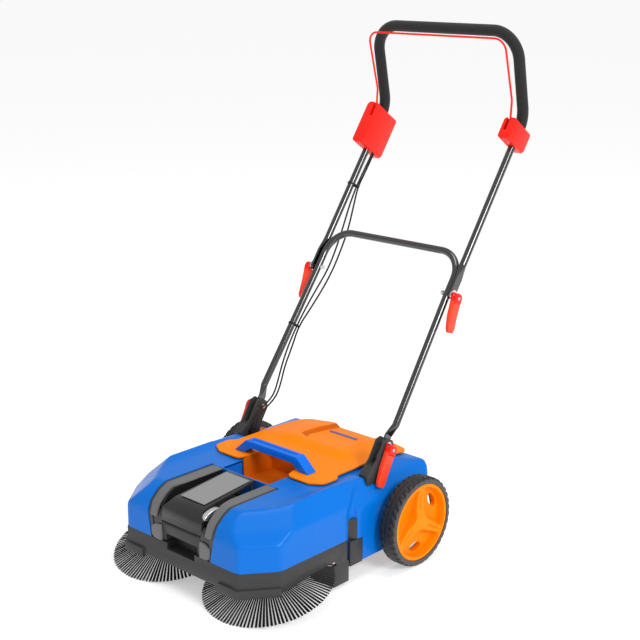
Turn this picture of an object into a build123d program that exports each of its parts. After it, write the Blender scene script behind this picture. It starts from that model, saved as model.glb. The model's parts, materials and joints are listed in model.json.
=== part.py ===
from build123d import *
import math
import os

# Walk-behind battery sweeper, millimetres.
# Frame: +Z up, the machine drives towards -Y, X = 0 is its mid plane, Z = 0 is the ground.
# "left" is +X, the operator's left hand when walking behind the machine.

# ---- driving dimensions ----
WHEEL_R = 96.0          # tyre radius
AXLE_Y = 15.0           # wheel axle
WHEEL_X = (228.0, 266.0)    # inner and outer face of the tyre
RIM_R = 82.3
FRONT_Y = -415.0        # front face of the bumper
REAR_Y = 116.0          # rear face of the housing
HALF_W = 213.0          # half width of the housing
NOSE_HALF = 162.0       # half width of the front face
CHAMFER_Y = -350.0      # rear end of the corner chamfer
EAVE_Z = 98.8           # joint line between bumper and hood
BUMPER_Z = 54.0         # lower edge of the bumper
POD_Z = 40.0            # lower edge of the housing beside the wheels
WALL = 3.0              # moulded wall
TUBE_R = 8.0            # handle tube, outside radius
TUBE_BORE = 6.6
FOAM_R = 12.5
LEAN = 34.8             # handle lean behind the vertical, degrees
FOLD_Y = -14.5          # lower handle fold axis
FOLD_Z = 254.0
MID_S = 347.0           # upper fold axis, distance along the handle from the lower one
CROSS_S = 440.0         # cross bar
LOOP_S = 771.0          # where the grip loop turns forward
GRIP_S = 901.8          # grip bar, along the handle
GRIP_N = 137.8          # grip bar, forward of the handle
FOOT_X = 184.0          # flattened foot of the lower leg
LOWER_X = 192.0         # lower leg at its foot
MID_X = 185.0           # lower leg at the upper fold axis
UPPER_X = 194.0         # upper leg
BOX_S = (650.0, 755.0)  # switch box along the handle
BAIL_S = 728.0          # bail pivot
BAIL_N = 22.0
BAIL_X = 188.0
BAIL_TIP = (869.6, 159.3)
BAIL_R = 2.3
BRUSH_X = 137.0         # side brush axis
BRUSH_Y = -307.0
BRUSH_Z = 31.3          # tip of the bristles on the brush axis
BRUSH_R = 134.0
BRUSH_TILT = 13.5       # degrees, front edge down
GEAR_MODULE = 1.0
GEAR_TEETH = 36
PINION_TEETH = 12
PRESSURE_ANGLE = 25.0
MOTOR_OFFSET = 24.0
SHAFT_R = 5.0
AXLE_R = 5.97
RUN = 0.06              # radial clearance of a running fit
CABLE_R = 2.0

HANDLE = Pos(0, FOLD_Y, FOLD_Z) * Rot(90 - LEAN, 0, 0)
SIGNS = {"left": 1, "right": -1}
parts = {}


# ---- helpers ----
def block(x0, x1, y0, y1, z0, z1):
    return Pos((x0 + x1) / 2, (y0 + y1) / 2, (z0 + z1) / 2) * Box(x1 - x0, y1 - y0, z1 - z0)


def mirrored(shape):
    return mirror(shape, Plane.YZ)


def both(shape):
    return shape + mirrored(shape)


def from_side(points, x0, x1):
    """Prism along X from an outline of (y, z) points."""
    face = Plane.YZ.offset(x0) * Polygon(*points, align=None)
    return extrude(face, amount=x1 - x0, dir=(1, 0, 0))


def from_front(points, y0, y1):
    """Prism along Y from an outline of (x, z) points."""
    face = Plane.XZ.offset(-y0) * Polygon(*points, align=None)
    return extrude(face, amount=y1 - y0, dir=(0, 1, 0))


def from_top(points, z0, z1):
    """Prism along Z from an outline of (x, y) points."""
    face = Plane.XY.offset(z0) * Polygon(*points, align=None)
    return extrude(face, amount=z1 - z0, dir=(0, 0, 1))


def symmetric(points):
    """Closes a half outline on +X with its mirror image."""
    return points + [(-a, b) for a, b in reversed(points) if a != 0]


def rod(x, y, z, radius, length, axis="Z"):
    """Cylinder that starts at a point and runs along an axis."""
    turn = {"X": Rot(0, 90, 0), "Y": Rot(-90, 0, 0), "Z": Rot(0, 0, 0)}[axis]
    return Pos(x, y, z) * turn * Cylinder(radius, length, align=(Align.CENTER, Align.CENTER, Align.MIN))


def hexagon(x, y, z, flats, length, axis="Z"):
    turn = {"X": Rot(0, 90, 0), "Y": Rot(-90, 0, 0), "Z": Rot(0, 0, 0)}[axis]
    return Pos(x, y, z) * turn * extrude(RegularPolygon(flats / 2, 6, major_radius=False), amount=length)


def inset(points, amount):
    """Outline moved inwards, as a list of corner points."""
    if not amount:
        return points
    face = offset(Polygon(*points, align=None), amount=-amount, kind=Kind.INTERSECTION).faces()[0]
    return [(e.start_point().X, e.start_point().Y) for e in face.outer_wire().order_edges()]


def pipe(points, bend, radius, bore=0.0):
    """Round bar or tube along a route with equal bends."""
    path = FilletPolyline(*points, radius=bend)
    start = Plane(path @ 0, z_dir=path % 0)
    section = Circle(radius) - Circle(bore) if bore else Circle(radius)
    return sweep(start * section, path=path)


# ---- housing ----
nose_plan = symmetric([(0, FRONT_Y), (NOSE_HALF, FRONT_Y), (HALF_W, CHAMFER_Y), (HALF_W, -156),
                       (190, -115), (190, -90), (0, -90)])
tail_plan = symmetric([(0, -170), (204, -170), (204, -129), (HALF_W, -129), (HALF_W, 98),
                       (198, REAR_Y), (0, REAR_Y)])
ridge = [(FRONT_Y, 0), (FRONT_Y, 150), (-407, 172), (-388, 190), (-362, 203), (-330, 210),
         (-190, 210), (-80, 203), (0, 202), (60, 198), (REAR_Y, 188), (REAR_Y, 0)]
nose_front = symmetric([(0, 0), (HALF_W, 0), (HALF_W, 170), (181, 210), (166, 203.5), (150, 201.5),
                        (60, 199.5), (0, 199)])
tail_front = symmetric([(0, 0), (HALF_W, 0), (HALF_W, 155), (190, 189), (150, 200), (0, 202)])


def housing(depth):
    """Outer form of the housing, or its cavity when depth is the wall thickness."""
    side = from_side(inset(ridge, depth), -300, 300)
    nose = from_top(inset(nose_plan, depth), -20, 260)
    nose = nose & from_front(inset(nose_front, depth), -430, -80) & side
    # groove in each flank between the front and the rear part
    nose -= both(block(204 - depth, 240, -156 - depth, -80, -30, 165 + depth))
    tail = from_top(inset(tail_plan, depth), -20, 260)
    tail = tail & from_front(inset(tail_front, depth), -180, 130) & side
    # The eave runs round the corner chamfers, and the top slopes up from it.
    for sign in SIGNS.values():
        turn = sign * math.degrees(math.atan2(CHAMFER_Y - FRONT_Y, HALF_W - NOSE_HALF))
        middle = Pos(sign * (NOSE_HALF + HALF_W) / 2, (FRONT_Y + CHAMFER_Y) / 2, 0)
        slope = [(depth, -30), (depth, 150), (22 + depth, 171), (75 + depth, 214), (900, 214), (900, -30)]
        nose = nose & (middle * Rot(0, 0, turn) * from_side(slope, -700, 700))
    return nose + tail


SCREW_Y = (-62.0, -34.0)    # screws of the handle brackets
outer = housing(0)
cavity = housing(WALL)


# ---- outlines shared by the top of the machine ----
lid_plan = symmetric([(0, -140), (60, -140), (68, -148), (70, -178), (78, -186), (130, -186),
                      (152, -174), (160, -152), (160, -132), (147, -118), (147, 100), (135, REAR_Y - 1),
                      (0, REAR_Y - 1)])
lid_top = [(-187, 206), (-165, 208), (-20, 208), (60, 204), (REAR_Y, 197)]
lid_under = [(y, z - 3) for y, z in lid_top]
POCKET_HALF = 66.0      # finger pocket in front of the carry handle
POCKET_Y = (-178.0, -92.0)
POCKET_Z = 159.0
TRAY_Y = (-237.4, -178.6)   # finger recess moulded into the hood, ahead of the pocket
BIN_HALF = 135.0
BIN_Y = (-150.0, 100.0)
BIN_Z = 14.0
BAY_REAR = -238.0       # battery bay
BAY_HALF = 61.0
BAY_FLOOR = 103.0
bay_mouth = symmetric([(0, 90), (86, 90), (88, 105), (98, 152), (101, 260), (0, 260)])


# ---- hood ----
def hood_shell():
    hood = outer - cavity
    hood -= block(-220, 220, -430, -156, -30, EAVE_Z)
    hood -= block(-220, 220, -157, 130, -30, POD_Z)
    hood -= block(-138, 138, -176, 104, 150, 260)
    hood -= block(-68, 68, TRAY_Y[1], -170, 120, 260)
    hood -= block(-67.4, 67.4, TRAY_Y[0] + 2.4, TRAY_Y[1], 120, 260)
    tray = outer & block(-70, 70, *TRAY_Y, POCKET_Z - 6, 260)
    hood += tray - block(-67.4, 67.4, TRAY_Y[0] + 2.4, TRAY_Y[1] + 1, POCKET_Z - 3, 260)
    hood -= block(-153, 153, -160, 130, -30, 150)
    hood -= from_front(bay_mouth, -430, BAY_REAR)
    hood -= block(-41, 41, -430, -380, 90, 120)
    for sign in SIGNS.values():
        for y in SCREW_Y:
            hood -= rod(sign * FOOT_X, y, 150, 2.5, 80)
    hood -= both(rod(200, AXLE_Y, WHEEL_R, 11.2, 20, "X"))
    hood -= both(block(203, 220, -129.2, -112, 36, 91))
    return hood


parts["hood_shell"] = hood_shell()


# ---- floor pan: bumper ring, brush deck, hopper bay, pods ----
def brush_frame(sign):
    return Pos(sign * BRUSH_X, BRUSH_Y, BRUSH_Z) * Rot(BRUSH_TILT, 0, 0)


def floor_pan():
    cut = -160
    ring_plan = symmetric([(0, FRONT_Y), (NOSE_HALF, FRONT_Y), (HALF_W, CHAMFER_Y), (HALF_W, cut), (0, cut)])
    inner_plan = symmetric([(0, FRONT_Y + 4), (NOSE_HALF - 2, FRONT_Y + 4), (HALF_W - 4, CHAMFER_Y + 1.5),
                            (HALF_W - 4, cut + 1), (0, cut + 1)])
    pan = from_top(ring_plan, BUMPER_Z, EAVE_Z) - from_top(inner_plan, 0, 120)
    pan += from_top(inner_plan, 92, 96)
    # raised lip round each front corner
    lip_plan = [(111, FRONT_Y - 6), (NOSE_HALF + 3, FRONT_Y - 6), (HALF_W + 5, CHAMFER_Y - 3),
                (HALF_W - 1, CHAMFER_Y + 2), (NOSE_HALF, FRONT_Y + 1), (111, FRONT_Y + 1)]
    pan += both(from_top(lip_plan, 48, 66))
    # rear part: bay walls and pod floors
    pan += both(block(150, 153, cut, 112, 20, 187))
    pan += block(-153, 153, 109, 112, 20, 180)
    pan += both(block(153, HALF_W - WALL, -128, 98, POD_Z, POD_Z + 3))
    pan += both(block(153, 203.5, cut, cut + 3, POD_Z, EAVE_Z + 40))
    # lugs that carry the stub axles
    for sign in SIGNS.values():
        start = 153 if sign > 0 else -HALF_W
        pan += rod(start, AXLE_Y, WHEEL_R, 11, 60, "X")
        pan += Pos(sign * 179, AXLE_Y, (POD_Z + WHEEL_R) / 2) * Box(52, 4, WHEEL_R - POD_Z)
    # tilted bosses round the brush shafts
    for sign in SIGNS.values():
        boss = brush_frame(sign) * (rod(0, 0, 52, 46, 25) - rod(0, 0, 40, 38, 60))
        hole = brush_frame(sign) * rod(0, 0, 20, 38, 60)
        pan -= hole
        pan += boss
    # front grip recess
    pan -= block(-41, 41, FRONT_Y - 5, FRONT_Y + 10, 85, 110)
    pan -= block(-49, 49, FRONT_Y + 4, -384, 90, 97)
    grip_tub = block(-49, 49, FRONT_Y + 3, -381, 80, 98) - block(-46, 46, FRONT_Y - 2, -384, 83, 99)
    pan += grip_tub
    for sign in SIGNS.values():
        pan -= rod(-280, AXLE_Y, WHEEL_R, 6.0, 560, "X")
    return pan


def brush_clearance(sign):
    """Space that a turning brush needs."""
    section = Plane.XZ * Polygon((0, 16), (46, 16), (BRUSH_R + 6, -4), (BRUSH_R + 6, 5), (54, 28.5), (54, 37),
                                 (0, 37), align=None)
    return brush_frame(sign) * revolve(section, Axis.Z)


brush_space = brush_clearance(1) + brush_clearance(-1)
parts["floor_pan"] = floor_pan() - brush_space - parts["hood_shell"]


def side_skirts():
    skirt = block(210, HALF_W, -198, -154, 8, BUMPER_Z - 0.2)
    skirt += block(150, HALF_W, -200, -197, 8, 48)
    skirt += block(206, 209, -198, -156, 40, 88)
    skirt += block(206, HALF_W, -198, -156, 40, BUMPER_Z - 0.2)
    wedge = from_top([(204.2, -149), (204.2, -129.5), (HALF_W, -129.5)], 92, 136)
    insert = block(204.2, HALF_W, -150, -112.5, 37, 90.5)
    return both(skirt) + both(wedge) + both(insert)


parts["side_skirts"] = side_skirts() - brush_space - parts["floor_pan"] - parts["hood_shell"]


# ---- battery bay ----
HINGE = (-251.0, 195.0)     # hinge pin of the battery cover


def battery_bay():
    tub = block(-BAY_HALF - 3, BAY_HALF + 3, -383, BAY_REAR, BAY_FLOOR - 4, 158)
    tub -= block(-BAY_HALF, BAY_HALF, -380, BAY_REAR - 3, BAY_FLOOR, 260)
    bar = from_side([(-412, 117), (-412, 136), (-408, 140), (-401, 140), (-399, 136), (-399, 117)], -56, 56)
    cheeks = both(block(46, 60, -411, -380, 101, 139))
    tub -= block(-BAY_HALF, BAY_HALF, -390, -375, 150, 200)
    lug = rod(32, *HINGE, 4.2, 3, "X") + block(32, 35, -254.5, -247.5, 150.2, 195)
    lugs = both(lug + block(32, 35, -254, -240, 150.2, 165)) - rod(-40, *HINGE, 1.55, 80, "X")
    return tub + bar + cheeks + lugs


parts["battery_bay"] = battery_bay()


def bay_trim():
    """Bands either side of the cover: along the top, and down the front."""
    band = outer & from_front(inset(bay_mouth, 0.6), -430, BAY_REAR - 0.6)
    skin = band - Pos(0, 3.5, -3.5) * (outer & block(-120, 120, -430, -200, 40, 260))
    skin = skin & block(-120, 120, -430, -200, EAVE_Z + 0.2, 260)
    skin -= from_front(symmetric([(0, 60), (62, 60), (62, 150), (70, 175), (77, 260), (0, 260)]), -430, -200)
    wall_outline = [(62, 101), (62, 150), (70, 175), (75.5, 195), (78.5, 195), (73, 174), (65, 149.5), (65, 101)]
    wall = from_front(wall_outline, -410, BAY_REAR - 0.6)
    wall = both(wall) & (Pos(0, 2, -2) * outer)
    return skin + wall


parts["bay_trim"] = bay_trim()
parts["bay_trim"] -= parts["battery_bay"]

PACK = (-378.0, -262.0)
pack_outline = symmetric([(0, 104.5), (38, 104.5), (38, 158), (32, 164), (0, 164)])
battery_pack = from_front(pack_outline, *PACK)
battery_pack -= both(block(36.5, 39, -350, -290, 120, 140))
battery_pack -= block(-30, 30, PACK[1] - 6, PACK[1] + 1, 112, 126)
parts["battery_pack"] = battery_pack

dock = block(-34, 34, -258, -242, BAY_FLOOR + 0.2, 150)
for x in (-20, 0, 20):
    dock += block(x - 2, x + 2, -267.5, -257, 114, 124)
parts["battery_dock"] = dock
board = block(44, 59, -370, -262, 106, 107.6)
for i in range(3):
    board += block(48, 56, -360 + 30 * i, -344 + 30 * i, 107.6, 118)
parts["control_board"] = board


def battery_cover():
    side = [(-247, 204.5), (-400, 189), (-410, 160), (-413, 142), (-404, 141), (-398, 153), (-247, 153)]
    front = symmetric([(0, 130), (58, 130), (58, 170), (46, 185), (38, 207), (0, 207)])
    thin_side = [(-240, 202), (-398.5, 186.5), (-407.6, 160), (-409.8, 144), (-420, 100), (-240, 100)]
    thin_front = symmetric([(0, 90), (55.5, 90), (55.5, 169), (43.8, 184), (36, 204.5), (0, 204.5)])
    shell = from_side(side, -58, 58) & from_front(front, -430, -240)
    shell -= from_side(thin_side, -58, 58) & from_front(thin_front, -430, -230)
    # hinge knuckles at the rear
    for x in (-31, 15):
        shell += rod(x, *HINGE, 4, 16, "X") + block(x, x + 16, -253, -249, 198, 202.5)
    return shell - rod(-60, *HINGE, 1.6, 120, "X")


parts["cover_hinge_pin"] = rod(-36, *HINGE, 1.55, 72, "X")
parts["battery_cover"] = battery_cover()
parts["cover_plate"] = from_side([(-256, 203.8), (-380, 191.3), (-380, 192.6), (-256, 205.1)], -34, 34)
LATCH_Y = -380.0
LATCH_Z = 177.0


def latch_bar(half_length, half_height, x0, x1):
    """Lens-shaped push bar on the shoulder of the cover."""
    outline = []
    for k in range(24):
        turn = 2 * math.pi * k / 24
        outline.append((LATCH_Y + half_length * math.cos(turn), LATCH_Z + half_height * math.sin(turn)))
    return from_side(outline, x0, x1)


stop = block(48, 52.5, LATCH_Y - 10, LATCH_Y + 10, 164, 171.5)
parts["cover_latch"] = latch_bar(22, 6, 46, 55.5) + stop
parts["battery_cover"] -= latch_bar(22.1, 6.1, 40, 70)


# ---- side brushes ----
def involute_gear(teeth, thickness, bore, phase, slack):
    pressure = math.radians(PRESSURE_ANGLE)
    pitch_r = GEAR_MODULE * teeth / 2
    base_r = pitch_r * math.cos(pressure)
    tip_r = pitch_r + GEAR_MODULE * 0.9
    root_r = pitch_r - 1.25 * GEAR_MODULE
    half = math.pi / (2 * teeth) - slack / (2 * pitch_r)
    spread = math.tan(pressure) - pressure
    flank = []
    steps = 5
    first = max(base_r, root_r)
    for i in range(steps + 1):
        radius = first + (tip_r - first) * i / steps
        turn = math.acos(min(1.0, base_r / radius))
        flank.append((radius, half + spread - (math.tan(turn) - turn)))
    points = []
    for k in range(teeth):
        centre = math.radians(phase) + 2 * math.pi * k / teeth
        tooth = [(root_r, -flank[0][1] * 1.0)] + [(r, -a) for r, a in flank]
        tooth += [(r, a) for r, a in reversed(flank)] + [(root_r, flank[0][1] * 1.0)]
        if first - root_r < 0.02:
            tooth = tooth[1:-1]
        points += [(r * math.cos(centre + a), r * math.sin(centre + a)) for r, a in tooth]
    return extrude(Polygon(*points, align=None), amount=thickness) - Cylinder(bore, 3 * thickness)


def egg(base_r, small_r, height):
    """Outline round the brush axis and the motor axis."""
    small = Pos(0, MOTOR_OFFSET, 0) * Circle(small_r)
    return extrude(make_hull((Circle(base_r) + small).edges()), amount=height)


for name, sign in SIGNS.items():
    place = brush_frame(sign)
    disc = rod(0, 0, 26, 52, 8) - rod(0, 0, 25, 44, 5) + rod(0, 0, 26, 16, 20)
    disc += rod(0, 0, 30, SHAFT_R, 62.5)
    parts["brush_disc_" + name] = place * disc
    cone = Plane.XZ * Polygon((46, 21), (46, 25.98), (54, 25.98), (BRUSH_R, 2.6), (BRUSH_R, 0), align=None)
    parts["bristles_" + name] = place * revolve(cone, Axis.Z)
    gear = Pos(0, 0, 84) * involute_gear(GEAR_TEETH, 5.5, SHAFT_R, 90, 0.08)
    parts["brush_gear_" + name] = place * gear
    pinion = involute_gear(PINION_TEETH, 6, 1.55, 15, 0.08)
    parts["motor_pinion_" + name] = place * Pos(0, MOTOR_OFFSET, 83.8) * pinion
    base = egg(25, 14, 15) - Pos(0, 0, 4) * egg(22.5, 11.5, 20)
    base += extrude(Circle(43.5), amount=3) - Pos(0, 0, -1) * egg(20, 10, 6)
    base -= rod(0, 0, -1, 8, 8)
    base += (rod(0, 0, 0, 10.5, 4.5) - rod(0, 0, -1, 8, 8))
    base += egg(22.6, 11.6, 4) - rod(0, 0, -1, 8, 8)
    parts["gearbox_base_" + name] = place * Pos(0, 0, 78) * base
    cover = egg(25, 14, 3) - rod(0, MOTOR_OFFSET, -1, 3, 6)
    parts["gearbox_cover_" + name] = place * Pos(0, 0, 93.05) * cover
    motor = rod(0, MOTOR_OFFSET, 96.1, 13.5, 46) + rod(0, MOTOR_OFFSET, 82.6, 1.5, 14)
    motor += rod(0, MOTOR_OFFSET, 142, 5, 4)
    parts["brush_motor_" + name] = place * motor

bush = rod(0, 0, 76, 8, 7) - rod(0, 0, 70, SHAFT_R + RUN, 20)
parts["shaft_bushes"] = brush_frame(1) * bush + brush_frame(-1) * bush


# ---- hopper ----
low_top = from_side([(-240, 200), (-187, 201.9), (-165, 204.9), (-20, 204.9), (60, 200.9), (REAR_Y, 193.9),
                     (REAR_Y, 0), (-240, 0)], -300, 300)


def hopper_bin():
    body = block(-BIN_HALF, BIN_HALF, BIN_Y[0], BIN_Y[1], BIN_Z, 220)
    tub = block(-POCKET_HALF, POCKET_HALF, POCKET_Y[0], POCKET_Y[1], POCKET_Z - 3, 220)
    inside = block(-BIN_HALF + 2.5, BIN_HALF - 2.5, BIN_Y[0] + 2.5, BIN_Y[1] - 2.5, BIN_Z + 3, 230)
    pocket = block(-POCKET_HALF + 2.5, POCKET_HALF - 2.5, POCKET_Y[0] - 1, POCKET_Y[1] - 2.5, POCKET_Z, 230)
    shell = body - (inside - tub) + tub - pocket
    shell = shell & low_top
    # mouth that the brushes sweep into, and its ramp lip
    shell -= block(-BIN_HALF + 6, BIN_HALF - 6, BIN_Y[0] - 1, BIN_Y[0] + 4, 20, 85)
    return shell


parts["hopper_bin"] = hopper_bin()


def hopper_lid():
    slab = from_side(lid_top + list(reversed(lid_under)), -170, 170) & from_top(lid_plan, 150, 260)
    # arched opening over the pocket, behind the carry handle
    slab -= Pos(0, -140, 150) * extrude(Ellipse(62, 43), amount=100)
    # shallow raised tongue down the middle of the lid
    raised = [(y, z + 1.6) for y, z in lid_top[2:]] + [(y, z - 1) for y, z in reversed(lid_top[2:])]
    tongue_plan = [(-96, 200), (96, 200), (96, 0), (80, -14), (-80, -14), (-96, 0)]
    tongue = from_side(raised, -96, 96) & from_top(tongue_plan, 150, 260)
    return slab + tongue


parts["hopper_lid"] = hopper_lid()


def carry_handle():
    arch = [(-103, 207.6), (-70, 240), (70, 240), (103, 207.6), (84, 207.6), (62, 227), (-62, 227), (-84, 207.6)]
    handle = from_front(arch, -160, -138)
    crown = [(-170, 246), (-170, 236), (-160, 236), (-154, 242), (-144, 242), (-138, 236), (-130, 236), (-130, 246)]
    handle -= from_side(crown, -150, 150)
    return handle & from_side([(-160, 208.1), (-160, 245), (-138, 245), (-138, 208.1)], -150, 150)


parts["carry_handle"] = carry_handle()
parts["lid_screws"] = None
for x in (-94, 94):
    head = rod(x, -149, 190, 2.0, 24) + rod(x, -149, 199, 4.5, 3)
    parts["lid_screws"] = head if parts["lid_screws"] is None else parts["lid_screws"] + head
for node in ("hopper_lid", "carry_handle", "hopper_bin"):
    parts[node] -= parts["lid_screws"]


# ---- wheels ----
def tyre(sign):
    width = WHEEL_X[1] - WHEEL_X[0]
    profile = Plane.XZ * Polygon((RIM_R, 0), (90, 0), (WHEEL_R - 1.5, 4), (WHEEL_R, 9), (WHEEL_R, width - 9),
                                 (WHEEL_R - 1.5, width - 4), (90, width), (RIM_R, width), align=None)
    tread = revolve(profile, Axis.Z)
    lugs = 36
    for i in range(lugs):
        gap = Rot(0, 0, 360 / lugs * i) * block(WHEEL_R - 4, WHEEL_R + 5, -2.1, 2.1, -1, 11)
        gap += Rot(0, 0, 360 / lugs * (i + 0.5)) * block(WHEEL_R - 4, WHEEL_R + 5, -2.1, 2.1, width - 11, width + 1)
        tread -= gap
    return Pos(WHEEL_X[0], AXLE_Y, WHEEL_R) * Rot(0, 90, 0) * tread


def rim():
    width = WHEEL_X[1] - WHEEL_X[0]
    wheel = extrude(Circle(RIM_R) - Circle(RIM_R - 5), amount=width)
    dish = extrude(Circle(RIM_R - 2), amount=5)
    for i in range(3):
        turn = Rot(0, 0, 120 * i)
        window = extrude(Circle(68) - Circle(38), amount=20)
        window = window & extrude(make_hull(((Pos(34, 0) * Circle(8)) + (Pos(66, 24) * Circle(6))
                                             + (Pos(66, -24) * Circle(6))).edges()), amount=20)
        dish -= Pos(0, 0, -5) * (turn * window)
    corners = [Rot(0, 0, 60 + 120 * i) * Pos(16, 0) * Circle(11) for i in range(3)]
    hub = make_hull(sum(corners, Sketch()).edges())
    wheel += Pos(0, 0, 22) * dish + Pos(0, 0, 24) * extrude(hub, amount=8)
    for i in range(3):
        rib = block(20, 76, -3.5, 3.5, 27, 31) - block(24, 72, -1.5, 1.5, 28.5, 33)
        wheel += Rot(0, 0, 60 + 120 * i) * rib
    wheel += rod(0, 0, 2, 17, 24)
    wheel -= rod(0, 0, -1, AXLE_R + 0.08, 60)
    return Pos(WHEEL_X[0], AXLE_Y, WHEEL_R) * Rot(0, 90, 0) * wheel


left_tyre = tyre(1)
left_rim = rim()
cap = rod(WHEEL_X[0] + 32, AXLE_Y, WHEEL_R, 17, 5, "X") - rod(WHEEL_X[0] + 31, AXLE_Y, WHEEL_R, 14.5, 3.8, "X")
for name, sign in SIGNS.items():
    parts["tyre_" + name] = left_tyre if sign > 0 else mirrored(left_tyre)
    parts["rim_" + name] = left_rim if sign > 0 else mirrored(left_rim)
    parts["hub_cap_" + name] = cap if sign > 0 else mirrored(cap)
axle = rod(156, AXLE_Y, WHEEL_R, AXLE_R, 106, "X") + rod(WHEEL_X[0] - 13.5, AXLE_Y, WHEEL_R, 9, 12, "X")
parts["stub_axles"] = both(axle)


# ---- handle brackets ----
def channel():
    """Upright channel that holds the flattened foot of the lower leg."""
    spine = [(-80, 185), (-80, 206), (-52, 232), (-30, 268), (-16, 272), (0, 262), (4, 246), (-16, 215), (-26, 185)]
    body = from_side(spine, FOOT_X - 11, FOOT_X + 11) - block(FOOT_X - 8.3, FOOT_X + 8.3, -120, 40, 222, 320)
    body -= rod(FOOT_X - 20, FOLD_Y, FOLD_Z, 3.05, 40, "X")
    return body - outer


bracket = channel()
parts["handle_bracket_left"] = bracket
parts["handle_bracket_right"] = mirrored(bracket)


# ---- handle ----
def on_handle(shape):
    return HANDLE * shape


def round_section(radius):
    """Disc whose rim is four arcs, to match the four sides of a flat."""
    return make_face([CenterArc((0, 0, 0), radius, 45 + 90 * k, 90) for k in range(4)])


def flattened_end(x, thickness, pin_s, flat_s, tube_start, tube_direction):
    """Solid flattened foot with a pin hole, blended into the round tube."""
    foot = block(x - thickness / 2, x + thickness / 2, pin_s, flat_s, -10, 10)
    foot += rod(x - thickness / 2, pin_s, 0, 10, thickness, "X")
    flat = Plane((x, flat_s, 0), x_dir=(1, 0, 0), z_dir=(0, 1, 0)) * Rectangle(thickness, 20)
    end = Plane(tube_start, x_dir=(1, 0, 0), z_dir=tube_direction) * round_section(TUBE_R)
    foot += loft([flat.faces()[0], end.faces()[0]])
    return foot - rod(x - 10, pin_s, 0, 3.06, 20, "X")


def lower_handle():
    start = (LOWER_X, 46, 0)
    route = [start, (MID_X, MID_S, 0), (MID_X, CROSS_S, 0), (-MID_X, CROSS_S, 0),
             (-MID_X, MID_S, 0), (-LOWER_X, 46, 0)]
    tube = pipe(route, 58, TUBE_R, TUBE_BORE) - rod(-230, MID_S, 0, 3.06, 460, "X")
    foot = flattened_end(FOOT_X, 4, 0, 22, start, (MID_X - LOWER_X, MID_S - 46, 0))
    return tube + both(foot)


parts["lower_handle"] = on_handle(lower_handle())
grip_route = [(UPPER_X, LOOP_S, 0), (UPPER_X, GRIP_S, GRIP_N), (-UPPER_X, GRIP_S, GRIP_N), (-UPPER_X, LOOP_S, 0)]
upper_route = [(UPPER_X, 416, 0)] + grip_route + [(-UPPER_X, 416, 0)]
upper_foot = flattened_end(UPPER_X + 3, 5, MID_S, 386, (UPPER_X, 416, 0), (0, 1, 0))
parts["upper_handle"] = on_handle(pipe(upper_route, 60, TUBE_R, TUBE_BORE) + both(upper_foot))
foam_route = [(UPPER_X, 742, 0)] + grip_route + [(-UPPER_X, 742, 0)]
foam = pipe(foam_route, 60, FOAM_R, TUBE_R + 0.02)
foam -= block(-230, -160, 700, BOX_S[1] + 0.2, -60, 60)
foam -= block(160, 230, 700, 750.2, -60, 60)
parts["foam_grip"] = on_handle(foam)


# ---- clamps with cam levers ----
def cam_lever(length):
    """Head on the origin with its pin along Z, arm along +Y, outside towards +X."""
    head = rod(0, 0, -9, 6, 18)
    arm = extrude(Polygon((-4, 2), (-3.4, 20), (-2, 0.7 * length), (1, length), (5, length), (4, 0.7 * length),
                          (6, 20), (5.6, 2), align=None), amount=18)
    lever = head + Pos(0, 0, -9) * arm
    lever -= block(-10, 10, -10, 4, -3.6, 3.6)
    return lever - rod(0, 0, -12, 2.56, 24)


def lever_frame(x, s, direction):
    """Frame at a point on the handle: X outwards, Y along the closed arm."""
    at = HANDLE * Pos(x, s, 0)
    origin = (x, at.position.Y, at.position.Z)
    return Plane(origin, x_dir=(1, 0, 0), z_dir=(0, -direction[1], direction[0]))


def unit(y, z):
    size = math.hypot(y, z)
    return (y / size, z / size)


BASE_DOWN = unit(-41, -77)
MID_DOWN = unit(-28, -80)
base_frame = lever_frame(202.0, 0, BASE_DOWN)
mid_frame = lever_frame(208.2, MID_S, MID_DOWN)
base_lever = base_frame * cam_lever(86)
mid_lever = mid_frame * cam_lever(80)
for name, sign in SIGNS.items():
    parts["base_lever_" + name] = base_lever if sign > 0 else mirrored(base_lever)
    parts["mid_lever_" + name] = mid_lever if sign > 0 else mirrored(mid_lever)


def clamp_bolt(frame, pin_x, nut_x, washers):
    """Bolt along X with a hexagon nut inside, washers, and the cross pin of the lever."""
    y, z = frame.origin.Y, frame.origin.Z
    bolt = rod(nut_x, y, z, 3, pin_x - nut_x, "X") + hexagon(nut_x - 1, y, z, 10, 5, "X")
    for start, end, radius in washers:
        bolt += rod(start, y, z, radius, end - start, "X")
    return bolt + frame * rod(0, 0, -8.5, 2.5, 17)


parts["base_clamp_bolts"] = both(clamp_bolt(base_frame, 202.0, 168.0, [(195.05, 195.9, 9)]))
mid_bolt = clamp_bolt(mid_frame, 208.2, 171.0, [(199.55, 202.1, 11)])
parts["mid_clamp_bolts"] = both(mid_bolt)


# ---- switch box, bail and lock button ----
def handle_block(x0, x1, s0, s1, n0, n1, corner):
    body = extrude(Pos((x0 + x1) / 2, (s0 + s1) / 2) * RectangleRounded(x1 - x0, s1 - s0, corner), amount=n1 - n0)
    return Pos(0, 0, n0) * body


leg_slot = block(BAIL_X - 4, BAIL_X + 4, BAIL_S - 8, 790, BAIL_N - 6, 70)
pin_bore = rod(BAIL_X - 8, BAIL_S, BAIL_N, BAIL_R + RUN, 20, "X")
tube_bore = pipe(upper_route, 60, TUBE_R + 0.02)


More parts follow.
